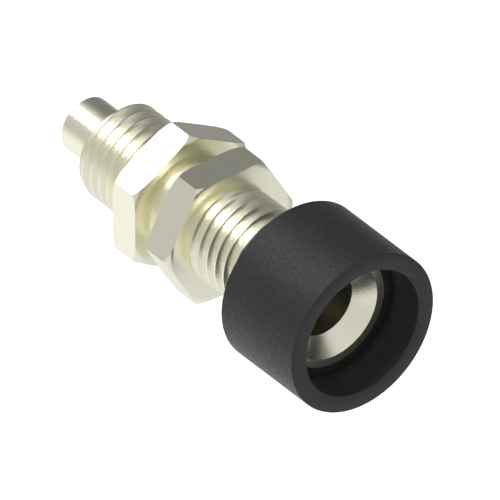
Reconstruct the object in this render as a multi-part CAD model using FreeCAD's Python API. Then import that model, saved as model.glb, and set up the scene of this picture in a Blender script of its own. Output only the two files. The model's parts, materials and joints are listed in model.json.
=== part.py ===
import FreeCAD, Part
import math
import os

# Banana socket for a panel: a turned contact with a blind plug bore, pressed into an insulating head,
# with two thin hexagon nuts on its thread. The first nut clamps the panel, the second a solder tag.
# Lengths in mm. The axis lies along Y, and the plug enters at the -Y end.
# The origin is on the axis, at the head's rear face, which seats on the panel.

# Insulating head
HEAD_DIA = 10.1
HEAD_LENGTH = 6.4
HEAD_EDGE_RADIUS = 0.05
MOUTH_DIA = 8.0
MOUTH_DEPTH = 2.5
MOUTH_EDGE_RADIUS = 0.05

# Contact: front flange, threaded barrel and solder pin in one turned piece
FLANGE_DIA = 7.0
FLANGE_THICKNESS = 1.2
THREAD_DIA = 6.0
THREAD_LENGTH = 15.8
THREAD_CHAMFER = 0.27
PLUG_BORE_DIA = 4.0
PLUG_BORE_DEPTH = 16.0
COUNTERSINK_DIA = 6.0
COUNTERSINK_ANGLE = 90.0
DRILL_POINT_ANGLE = 118.0
PIN_DIA = 3.45
PIN_LENGTH = 3.0
PIN_CHAMFER = 0.1

# Hexagon nuts, thin, with the corners turned round on both faces
NUT_ACROSS_FLATS = 8.0
NUT_THICKNESS = 2.05
NUT_FACE_DIA = 8.14
NUT_CORNER_RADIUS = 0.7
NUT_THREAD_CLEARANCE = 0.05

# Where the nuts stand on the thread, and how far each is turned
FRONT_NUT_FROM_HEAD = 5.52
FRONT_NUT_TURN = 0.0
GAP_BETWEEN_NUTS = 1.55
REAR_NUT_TURN = 30.0

ON_AXIS = 0.0


def turned(*profile):
    """A solid of revolution about Y from corners given as (place along Y, radius)."""
    corners = [FreeCAD.Vector(radius, y, 0) for y, radius in profile]
    outline = Part.makePolygon(corners + corners[:1])
    return Part.Face(outline).revolve(FreeCAD.Vector(), FreeCAD.Vector(0, 1, 0), 360)


def rim(solid, y, dia):
    """The round edges of a solid at one place along Y and of one diameter."""
    return [
        edge
        for edge in solid.Edges
        if isinstance(edge.Curve, Part.Circle)
        and abs(edge.Curve.Center.y - y) < 1e-6
        and abs(edge.Curve.Radius - dia / 2) < 1e-6
    ]


def cone_length(from_dia, to_dia, included_angle):
    """Length along the axis of a cone between two diameters."""
    return (from_dia - to_dia) / 2 / math.tan(math.radians(included_angle / 2))


HEAD_FRONT = -HEAD_LENGTH
CONTACT_FRONT = HEAD_FRONT + MOUTH_DEPTH
FLANGE_BACK = CONTACT_FRONT + FLANGE_THICKNESS
PIN_END = THREAD_LENGTH + PIN_LENGTH


def insulating_head():
    """Round head: an open mouth for the plug's sleeve, and a stepped hole that the contact fills."""
    body = turned(
        (HEAD_FRONT, MOUTH_DIA / 2),
        (HEAD_FRONT, HEAD_DIA / 2),
        (0, HEAD_DIA / 2),
        (0, THREAD_DIA / 2),
        (FLANGE_BACK, THREAD_DIA / 2),
        (FLANGE_BACK, FLANGE_DIA / 2),
        (CONTACT_FRONT, FLANGE_DIA / 2),
        (CONTACT_FRONT, MOUTH_DIA / 2),
    )
    body = body.makeFillet(HEAD_EDGE_RADIUS, rim(body, HEAD_FRONT, HEAD_DIA) + rim(body, 0, HEAD_DIA))
    return body.makeFillet(MOUTH_EDGE_RADIUS, rim(body, HEAD_FRONT, MOUTH_DIA))


def contact_barrel():
    """Turned contact: countersunk flange, barrel at the thread's crest diameter, and the solder pin."""
    countersink_floor = CONTACT_FRONT + cone_length(COUNTERSINK_DIA, PLUG_BORE_DIA, COUNTERSINK_ANGLE)
    bore_floor = CONTACT_FRONT + PLUG_BORE_DEPTH
    drill_tip = bore_floor + cone_length(PLUG_BORE_DIA, 0, DRILL_POINT_ANGLE)
    body = turned(
        (CONTACT_FRONT, COUNTERSINK_DIA / 2),
        (CONTACT_FRONT, FLANGE_DIA / 2),
        (FLANGE_BACK, FLANGE_DIA / 2),
        (FLANGE_BACK, THREAD_DIA / 2),
        (THREAD_LENGTH, THREAD_DIA / 2),
        (THREAD_LENGTH, PIN_DIA / 2),
        (PIN_END, PIN_DIA / 2),
        (PIN_END, ON_AXIS),
        (drill_tip, ON_AXIS),
        (bore_floor, PLUG_BORE_DIA / 2),
        (countersink_floor, PLUG_BORE_DIA / 2),
    )
    body = body.makeChamfer(THREAD_CHAMFER, rim(body, THREAD_LENGTH, THREAD_DIA))
    return body.makeChamfer(PIN_CHAMFER, rim(body, PIN_END, PIN_DIA))


def hexagon_nut(front, turn):
    """Thin nut with its front face at one place along Y, and one corner at an angle from +X."""
    back = front + NUT_THICKNESS
    corner_radius = NUT_ACROSS_FLATS / 2 / math.cos(math.pi / 6)
    corners = [
        FreeCAD.Vector(
            corner_radius * math.cos(math.radians(turn + 60 * k)),
            front,
            corner_radius * math.sin(math.radians(turn + 60 * k)),
        )
        for k in range(6)
    ]
    prism = Part.Face(Part.makePolygon(corners + corners[:1])).extrude(FreeCAD.Vector(0, NUT_THICKNESS, 0))
    disc_dia = NUT_FACE_DIA + 2 * NUT_CORNER_RADIUS
    disc = turned((front, ON_AXIS), (front, disc_dia / 2), (back, disc_dia / 2), (back, ON_AXIS))
    disc = disc.makeFillet(NUT_CORNER_RADIUS, rim(disc, front, disc_dia) + rim(disc, back, disc_dia))
    bore_dia = THREAD_DIA + 2 * NUT_THREAD_CLEARANCE
    bore = turned((front, ON_AXIS), (front, bore_dia / 2), (back, bore_dia / 2), (back, ON_AXIS))
    return prism.common(disc).cut(bore)


REAR_NUT_FROM_HEAD = FRONT_NUT_FROM_HEAD + NUT_THICKNESS + GAP_BETWEEN_NUTS

pieces = {
    "contact_barrel": contact_barrel(),
    "insulating_head": insulating_head(),
    "front_nut": hexagon_nut(FRONT_NUT_FROM_HEAD, FRONT_NUT_TURN),
    "rear_nut": hexagon_nut(REAR_NUT_FROM_HEAD, REAR_NUT_TURN),
}

os.makedirs("parts", exist_ok=True)
for name, piece in pieces.items():
    solid = piece.Solids[0]
    solid.exportStep(f"parts/{name}.step")
    print(f"{name}: {solid.Volume:.2f} mm3, valid {solid.isValid()}, solids {len(piece.Solids)}")
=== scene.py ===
import json
import math

import bpy
from mathutils import Matrix, Vector


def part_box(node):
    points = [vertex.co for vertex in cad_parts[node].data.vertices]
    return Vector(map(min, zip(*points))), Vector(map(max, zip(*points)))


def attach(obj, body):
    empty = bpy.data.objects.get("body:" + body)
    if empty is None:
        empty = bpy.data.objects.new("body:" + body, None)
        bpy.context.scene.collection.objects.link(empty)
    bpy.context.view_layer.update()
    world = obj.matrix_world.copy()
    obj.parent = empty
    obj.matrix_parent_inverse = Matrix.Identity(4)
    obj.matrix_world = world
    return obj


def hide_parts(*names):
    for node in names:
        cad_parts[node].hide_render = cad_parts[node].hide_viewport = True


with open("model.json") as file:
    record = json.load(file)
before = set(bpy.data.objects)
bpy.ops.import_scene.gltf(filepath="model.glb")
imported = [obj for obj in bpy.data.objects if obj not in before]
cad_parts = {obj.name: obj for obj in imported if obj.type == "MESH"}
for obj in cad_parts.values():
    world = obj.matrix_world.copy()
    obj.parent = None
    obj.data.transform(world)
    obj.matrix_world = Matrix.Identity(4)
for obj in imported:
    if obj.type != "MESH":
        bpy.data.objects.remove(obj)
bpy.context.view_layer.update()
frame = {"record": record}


# The contact: one piece turned from brass bar and nickel plated, with a countersunk front flange,
# a blind bore for the plug, a right-hand fine thread and a plain pin for the soldered wire.
# The head is pressed over its flange, and the thread starts inside the head.
MM = 0.001
FLANGE_THICKNESS = 1.2 * MM
COUNTERSINK_RADIUS = 3.0 * MM
DRILL_POINT_LENGTH = 1.2 * MM
PIN_LENGTH = 3.0 * MM
PIN_CHAMFER = 0.1 * MM
PITCH = 0.75 * MM
THREAD_DEPTH = 0.43 * MM
THREAD_CHAMFER = 0.27 * MM
THREAD_START = -1.31 * MM
THREAD_TURNS = 24
SIDES = 128
SLIVER = 0.002 * MM

mounts = {mount["name"]: mount for mount in frame["record"]["mounts"]}
crest_radius = mounts["panel_thread"]["dims"]["r_mm"] * MM
bore_radius = mounts["plug_bore"]["dims"]["r_mm"] * MM
bore_length = mounts["plug_bore"]["dims"]["length_mm"] * MM
pin_radius = mounts["solder_pin"]["dims"]["r_mm"] * MM
contact_low, contact_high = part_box("contact_barrel")
contact_front = contact_low.y
pin_end = contact_high.y
flange_radius = contact_high.x
flange_back = contact_front + FLANGE_THICKNESS
countersink_floor = contact_front + COUNTERSINK_RADIUS - bore_radius
bore_floor = countersink_floor + bore_length
drill_tip = bore_floor + DRILL_POINT_LENGTH
thread_end = pin_end - PIN_LENGTH


def pick(obj):
    """Only this object selected, and active."""
    bpy.ops.object.select_all(action="DESELECT")
    obj.select_set(True)
    bpy.context.view_layer.objects.active = obj


def turned(name, stations):
    """A piece turned about Y: a disc at the first (place, radius), drawn along to each of the others."""
    (y, radius), *others = stations
    bpy.ops.object.select_all(action="DESELECT")
    bpy.ops.mesh.primitive_circle_add(
        vertices=SIDES, radius=radius, fill_type="NGON", location=(0, y, 0), rotation=(math.pi / 2, 0, 0)
    )
    obj = bpy.context.object
    obj.name = name
    bpy.ops.object.transform_apply()
    bpy.ops.object.mode_set(mode="EDIT")
    bpy.ops.mesh.select_mode(type="FACE")
    for next_y, next_radius in others:
        bpy.ops.mesh.extrude_region_move(TRANSFORM_OT_translate={"value": (0, next_y - y, 0)})
        if next_radius > 0:
            share = next_radius / radius
            bpy.ops.transform.resize(value=(share, 1, share), center_override=(0, next_y, 0))
        else:
            bpy.ops.mesh.merge(type="COLLAPSE")
        y, radius = next_y, next_radius
    bpy.ops.mesh.select_all(action="SELECT")
    bpy.ops.mesh.normals_make_consistent(inside=False)
    bpy.ops.object.mode_set(mode="OBJECT")
    return obj


def cut(obj, tool, operation="DIFFERENCE"):
    """Cuts obj with a tool piece, or keeps what the two share, and merges the slivers this leaves."""
    pick(obj)
    boolean = obj.modifiers.new("Cut", "BOOLEAN")
    boolean.operation = operation
    boolean.solver = "EXACT"
    boolean.object = tool
    bpy.ops.object.modifier_apply(modifier=boolean.name)
    bpy.data.objects.remove(tool)
    bpy.ops.object.mode_set(mode="EDIT")
    bpy.ops.mesh.select_all(action="SELECT")
    bpy.ops.mesh.remove_doubles(threshold=SLIVER)
    bpy.ops.mesh.dissolve_degenerate(threshold=SLIVER)
    bpy.ops.object.mode_set(mode="OBJECT")


def smooth(obj, degrees):
    """Smooth shading, broken at edges sharper than some degrees, that leaves the large faces flat."""
    pick(obj)
    bpy.ops.object.shade_smooth_by_angle(angle=math.radians(degrees))
    weighted = obj.modifiers.new("Shading", "WEIGHTED_NORMAL")
    weighted.keep_sharp = True
    bpy.ops.object.modifier_apply(modifier=weighted.name)


def thread_groove(play=0):
    """The thread's groove as a solid: a 60 degree trapezoid with a rounded root, wound up the axis.
    It leaves crests of an eighth of the pitch. For a nut's thread it is narrower all round by a play."""
    over_crest = 0.04 * MM
    flank = math.tan(math.radians(30))
    depth = THREAD_DEPTH - play
    mouth = 7 / 8 * PITCH + 2 * (over_crest - 2 * play) * flank
    root = mouth - 2 * (depth + over_crest) * flank
    nearly_half = 0.48
    middle = crest_radius + (over_crest - depth) / 2
    bpy.ops.object.select_all(action="DESELECT")
    bpy.ops.mesh.primitive_plane_add(size=1, location=(middle, THREAD_START, 0))
    groove = bpy.context.object
    groove.scale = (depth + over_crest, mouth, 1)
    bpy.ops.object.transform_apply()
    bpy.ops.object.mode_set(mode="EDIT")
    bpy.ops.mesh.select_mode(type="VERT")
    bpy.ops.mesh.delete(type="ONLY_FACE")
    bpy.ops.mesh.select_all(action="DESELECT")
    bpy.ops.object.mode_set(mode="OBJECT")
    for vertex in groove.data.vertices:
        vertex.select = vertex.co.x < middle
    bpy.ops.object.mode_set(mode="EDIT")
    bpy.ops.transform.resize(value=(1, root / mouth, 1), center_override=(middle, THREAD_START, 0))
    bpy.ops.mesh.bevel(offset=nearly_half * root, segments=4, affect="VERTICES")
    bpy.ops.object.mode_set(mode="OBJECT")
    winding = groove.modifiers.new("Winding", "SCREW")
    winding.axis = "Y"
    winding.screw_offset = PITCH
    winding.iterations = THREAD_TURNS
    winding.steps = winding.render_steps = SIDES
    winding.use_merge_vertices = False
    bpy.ops.object.modifier_apply(modifier=winding.name)
    bpy.ops.object.mode_set(mode="EDIT")
    bpy.ops.mesh.select_all(action="SELECT")
    bpy.ops.mesh.fill_holes(sides=0)
    bpy.ops.mesh.normals_make_consistent(inside=False)
    bpy.ops.object.mode_set(mode="OBJECT")
    return groove


class Socket:
    """A shader socket that sums are written with: each operator adds its Math node."""

    def __init__(self, tree, socket=None):
        self.tree = tree
        self.socket = socket

    def node(self, kind, settings=(), values=(), output=0):
        """Any other node, from its type, its settings, and the values or links of its sockets."""
        added = self.tree.nodes.new("ShaderNode" + kind)
        for name, value in dict(settings).items():
            setattr(added, name, value)
        for name, value in dict(values).items():
            if isinstance(value, Socket):
                self.tree.links.new(value.socket, added.inputs[name])
            else:
                added.inputs[name].default_value = value
        return Socket(self.tree, added.outputs[output] if len(added.outputs) else None)

    def math(self, operation, *values):
        return self.node("Math", {"operation": operation}, enumerate(values))

    def __add__(self, other):
        return self.math("ADD", self, other)

    def __sub__(self, other):
        return self.math("SUBTRACT", self, other)

    def __rsub__(self, other):
        return self.math("SUBTRACT", other, self)

    def __mul__(self, other):
        return self.math("MULTIPLY", self, other)

    __radd__ = __add__
    __rmul__ = __mul__


def material(name):
    """A new material, as an empty socket to build its nodes from."""
    made = bpy.data.materials.new(name)
    made.use_nodes = True
    made.node_tree.nodes.clear()
    return made, Socket(made.node_tree)


def mixed(share, first, second):
    """A colour between two, by a share that varies."""
    return share.node("Mix", {"data_type": "RGBA"}, {0: share, 6: (*first, 1), 7: (*second, 1)}, output=2)


def nickel_plating():
    """Satin nickel over brass: warm white, with the fine grain of a barrel-plated surface."""
    made, shade = material("nickel_plating")
    place = shade.node("TexCoord", output="Object")
    grain = shade.node("TexNoise", values={"Vector": place, "Scale": 11000, "Detail": 1, "Roughness": 0.5})
    patches = shade.node("TexNoise", values={"Vector": place, "Scale": 900, "Detail": 2})
    tint = mixed(patches, (0.925, 0.91, 0.745), (0.945, 0.93, 0.78))
    relief = shade.node("Bump", values={"Height": grain, "Strength": 1, "Distance": 0.007 * MM})
    surface = shade.node("BsdfPrincipled", values={
        "Base Color": tint,
        "Metallic": 1,
        "Roughness": 0.25 + (patches - 0.5) * 0.04,
        "Normal": relief,
    })
    shade.node("OutputMaterial", values={"Surface": surface})
    return made


contact = turned("contact", [
    (pin_end, pin_radius - PIN_CHAMFER),
    (pin_end - PIN_CHAMFER, pin_radius),
    (thread_end, pin_radius),
    (thread_end, crest_radius - THREAD_CHAMFER),
    (thread_end - THREAD_CHAMFER, crest_radius),
    (flange_back, crest_radius),
    (flange_back, flange_radius),
    (contact_front, flange_radius),
    (contact_front, COUNTERSINK_RADIUS),
    (countersink_floor, bore_radius),
    (bore_floor, bore_radius),
    (drill_tip, 0),
])
cut(contact, thread_groove())
smooth(contact, 25)
plating = nickel_plating()
contact.data.materials.append(plating)
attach(contact, "socket")
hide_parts("contact_barrel")


# The insulating head: black plastic, moulded in one piece, with rounded edges and a fine-grained
# skin. Its mouth takes the plug's sleeve, and the contact's flange fills the step at its floor.
head_low, head_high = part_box("insulating_head")
head_front = head_low.y
head_back = head_high.y
head_radius = head_high.x
MOUTH_RADIUS = 4.0 * MM
HEAD_EDGE_RADIUS = 0.05 * MM


def round_edge(obj, y, radius, width, segments):
    """Rounds the round edge of a turned piece at one place and radius."""
    pick(obj)
    bpy.ops.object.mode_set(mode="EDIT")
    bpy.ops.mesh.select_mode(type="EDGE")
    bpy.ops.mesh.select_all(action="DESELECT")
    bpy.ops.object.mode_set(mode="OBJECT")
    on_edge = {
        vertex.index
        for vertex in obj.data.vertices
        if math.hypot(vertex.co.y - y, math.hypot(vertex.co.x, vertex.co.z) - radius) < SLIVER
    }
    for edge in obj.data.edges:
        edge.select = set(edge.vertices) <= on_edge
    bpy.ops.object.mode_set(mode="EDIT")
    bpy.ops.mesh.bevel(offset=width, segments=segments, affect="EDGES")
    bpy.ops.object.mode_set(mode="OBJECT")


def black_plastic():
    """Black moulded plastic with a fine spark-eroded grain; its colour is darker in the grain's hollows
    and lighter on its rises, as painted shade.
    """
    made, shade = material("black_plastic")
    place = shade.node("TexCoord", output="Object")
    grain = shade.node("TexNoise", values={"Vector": place, "Scale": 10000, "Detail": 1, "Roughness": 0.5})
    relief = shade.node("Bump", values={"Height": grain, "Strength": 1, "Distance": 0.048 * MM})
    # Painted shade: the base colour follows the grain's height, darker in its hollows and lighter on its
    # rises, standing in for the shading of relief finer than a pixel.
    tint = mixed((grain - 0.5) * 4 + 0.5, (0.0145, 0.0145, 0.0145), (0.0195, 0.0195, 0.0195))
    surface = shade.node("BsdfPrincipled", values={
        "Base Color": tint,
        "Roughness": 0.4 - (grain - 0.5) * 0.6,
        "Specular IOR Level": 0.34,
        "Normal": relief,
    })
    shade.node("OutputMaterial", values={"Surface": surface})
    return made


head = turned("head", [
    (head_back, crest_radius),
    (head_back, head_radius),
    (head_front, head_radius),
    (head_front, MOUTH_RADIUS),
    (contact_front, MOUTH_RADIUS),
    (contact_front, flange_radius),
    (flange_back, flange_radius),
    (flange_back, crest_radius),
])
# The discs left at both ends of the narrow hole are bridged, which opens it.
pick(head)
bpy.ops.object.mode_set(mode="EDIT")
bpy.ops.mesh.select_mode(type="FACE")
bpy.ops.mesh.select_all(action="DESELECT")
bpy.ops.object.mode_set(mode="OBJECT")
for face in head.data.polygons:
    face.select = len(face.vertices) == SIDES
bpy.ops.object.mode_set(mode="EDIT")
bpy.ops.mesh.bridge_edge_loops()
bpy.ops.mesh.select_all(action="SELECT")
bpy.ops.mesh.normals_make_consistent(inside=False)
bpy.ops.object.mode_set(mode="OBJECT")
for y, radius in ((head_back, head_radius), (head_front, head_radius), (head_front, MOUTH_RADIUS)):
    round_edge(head, y, radius, HEAD_EDGE_RADIUS, 2)
smooth(head, 50)
head.data.materials.append(black_plastic())
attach(head, "socket")
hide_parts("insulating_head")


# The nuts: two thin hexagon nuts parted off drawn hexagon bar, their corners turned round on both
# faces, plated as the contact is. The front one clamps the panel and the rear one a solder tag.
ACROSS_FLATS = 8.0 * MM
NUT_CORNER_RADIUS = 0.7 * MM
NUT_FACE_RADIUS = 4.07 * MM
NUT_DISC_RADIUS = NUT_FACE_RADIUS + NUT_CORNER_RADIUS
THREAD_PLAY = 0.008 * MM


def hexagon_nut(name, node, turn):
    """One nut where its node is, with a corner turned by some degrees from the X axis."""
    low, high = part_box(node)
    bpy.ops.object.select_all(action="DESELECT")
    bpy.ops.mesh.primitive_cylinder_add(
        vertices=6,
        radius=ACROSS_FLATS / 2 / math.cos(math.pi / 6),
        depth=high.y - low.y,
        location=(0, (low.y + high.y) / 2, 0),
        rotation=(math.pi / 2, math.radians(90 - turn), 0),
    )
    nut = bpy.context.object
    nut.name = name
    bpy.ops.object.transform_apply()
    disc = turned("disc", [(low.y, NUT_DISC_RADIUS), (high.y, NUT_DISC_RADIUS)])
    round_edge(disc, low.y, NUT_DISC_RADIUS, NUT_CORNER_RADIUS, 10)
    round_edge(disc, high.y, NUT_DISC_RADIUS, NUT_CORNER_RADIUS, 10)
    cut(nut, disc, "INTERSECT")
    # The tap is a piece of the contact's own thread, fatter by the play and longer than the nut.
    tap_radius = crest_radius + THREAD_PLAY
    tap = turned("tap", [(low.y - PITCH, tap_radius), (high.y + PITCH, tap_radius)])
    cut(tap, thread_groove(THREAD_PLAY))
    cut(nut, tap)
    smooth(nut, 20)
    nut.data.materials.append(plating)
    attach(nut, node)
    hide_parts(node)


hexagon_nut("nut_front", "front_nut", 0)
hexagon_nut("nut_rear", "rear_nut", 30)


# The studio: a white floor that keeps the shadow, one long soft lamp overhead, and a surround that
# is white to the camera. Gloss sees it dimmed, as by grey cards all round, a black card to the
# right and a light ceiling.
FLOOR_SIZE = 4
FLOOR_DROP = 60 * MM
FLOOR_FILL = 0.35
LAMP_WIDTH = 0.26
LAMP_LENGTH = 0.5
LAMP_DISTANCE = 0.5
LAMP_RADIANCE = 3.2


def looked_at(shade):
    """1 for the rays of the camera, of gloss and of glass, and 0 for those that light a surface."""
    camera, gloss, glass = (
        shade.node("LightPath", output=f"Is {kind} Ray") for kind in ("Camera", "Glossy", "Transmission")
    )
    return camera + gloss + glass


floor_paint, shade = material("white_floor")
paint = shade.node("BsdfDiffuse", values={"Color": (0.8, 0.8, 0.8, 1)})
fill = shade.node("Emission", values={"Color": (1, 1, 1, 1), "Strength": FLOOR_FILL * looked_at(shade)})
both = shade.node("AddShader", values={0: paint, 1: fill})
shade.node("OutputMaterial", values={"Surface": both})
bpy.ops.object.select_all(action="DESELECT")
bpy.ops.mesh.primitive_plane_add(size=FLOOR_SIZE, location=(0, 0, -FLOOR_DROP))
floor = bpy.context.object
floor.name = "floor"
floor.data.materials.append(floor_paint)
floor.visible_glossy = False


def slope(value, start, end, kind="SMOOTHSTEP"):
    """0 before the start, 1 after the end, and between them a ramp."""
    settings = {"interpolation_type": kind, "clamp": True}
    return value.node("MapRange", settings, {"Value": value, "From Min": start, "From Max": end})


world = bpy.data.worlds.new("surround")
bpy.context.scene.world = world
world.use_nodes = True
world.node_tree.nodes.clear()
shade = Socket(world.node_tree)
way = shade.node("TexCoord", output="Generated")
right, rear, up = (shade.node("SeparateXYZ", values={"Vector": way}, output=axis) for axis in "XYZ")
low_card = 0.90 + 0.14 * rear
high_card = 0.60 - 0.08 * rear
above = slope(up, -0.45, 0.02)
black_card = 0.66 * (slope(right + 0.3 * rear, 0.22, 0.60) * slope(up, -1.2, 0.05, "LINEAR"))
ceiling = 0.3 * slope(up, 0.6, 1)
cards = (low_card * (1 - above) + high_card * above) * (1 - black_card) + ceiling
glossy = shade.node("LightPath", output="Is Glossy Ray")
strength = 0.8 + 0.2 * looked_at(shade) - glossy * (1 - cards)
surround = shade.node("Background", values={"Color": (1, 1, 1, 1), "Strength": strength})
shade.node("OutputWorld", values={"Surface": surround})

lamp_way = Vector((-0.345, 0.34, 0.874)).normalized()
lamp_side = lamp_way.cross((0, 1, 0)).normalized()
bpy.ops.object.light_add(type="AREA", location=lamp_way * LAMP_DISTANCE)
lamp = bpy.context.object
lamp.name = "soft_lamp"
lamp.rotation_euler = Matrix((lamp_side, lamp_way.cross(lamp_side), lamp_way)).transposed().to_euler()
lamp.data.shape = "RECTANGLE"
lamp.data.size = LAMP_WIDTH
lamp.data.size_y = LAMP_LENGTH
lamp.data.energy = LAMP_RADIANCE * math.pi * LAMP_WIDTH * LAMP_LENGTH


# The camera: a parallel view from in front of the head, to the left and from above, as in the
# photograph.
CAMERA_DISTANCE = 0.5
VIEW_WIDTH = 28.01 * MM
camera_way = Vector((-0.4971, -0.6323, 0.5942))
aim = Vector((-0.060, 3.727, -0.050)) * MM
bpy.ops.object.camera_add(location=aim + camera_way * CAMERA_DISTANCE)
camera = bpy.context.object
camera.rotation_euler = camera_way.to_track_quat("Z", "Y").to_euler()
camera.data.type = "ORTHO"
camera.data.ortho_scale = VIEW_WIDTH
bpy.context.scene.camera = camera
bpy.context.scene.view_settings.view_transform = "Standard"
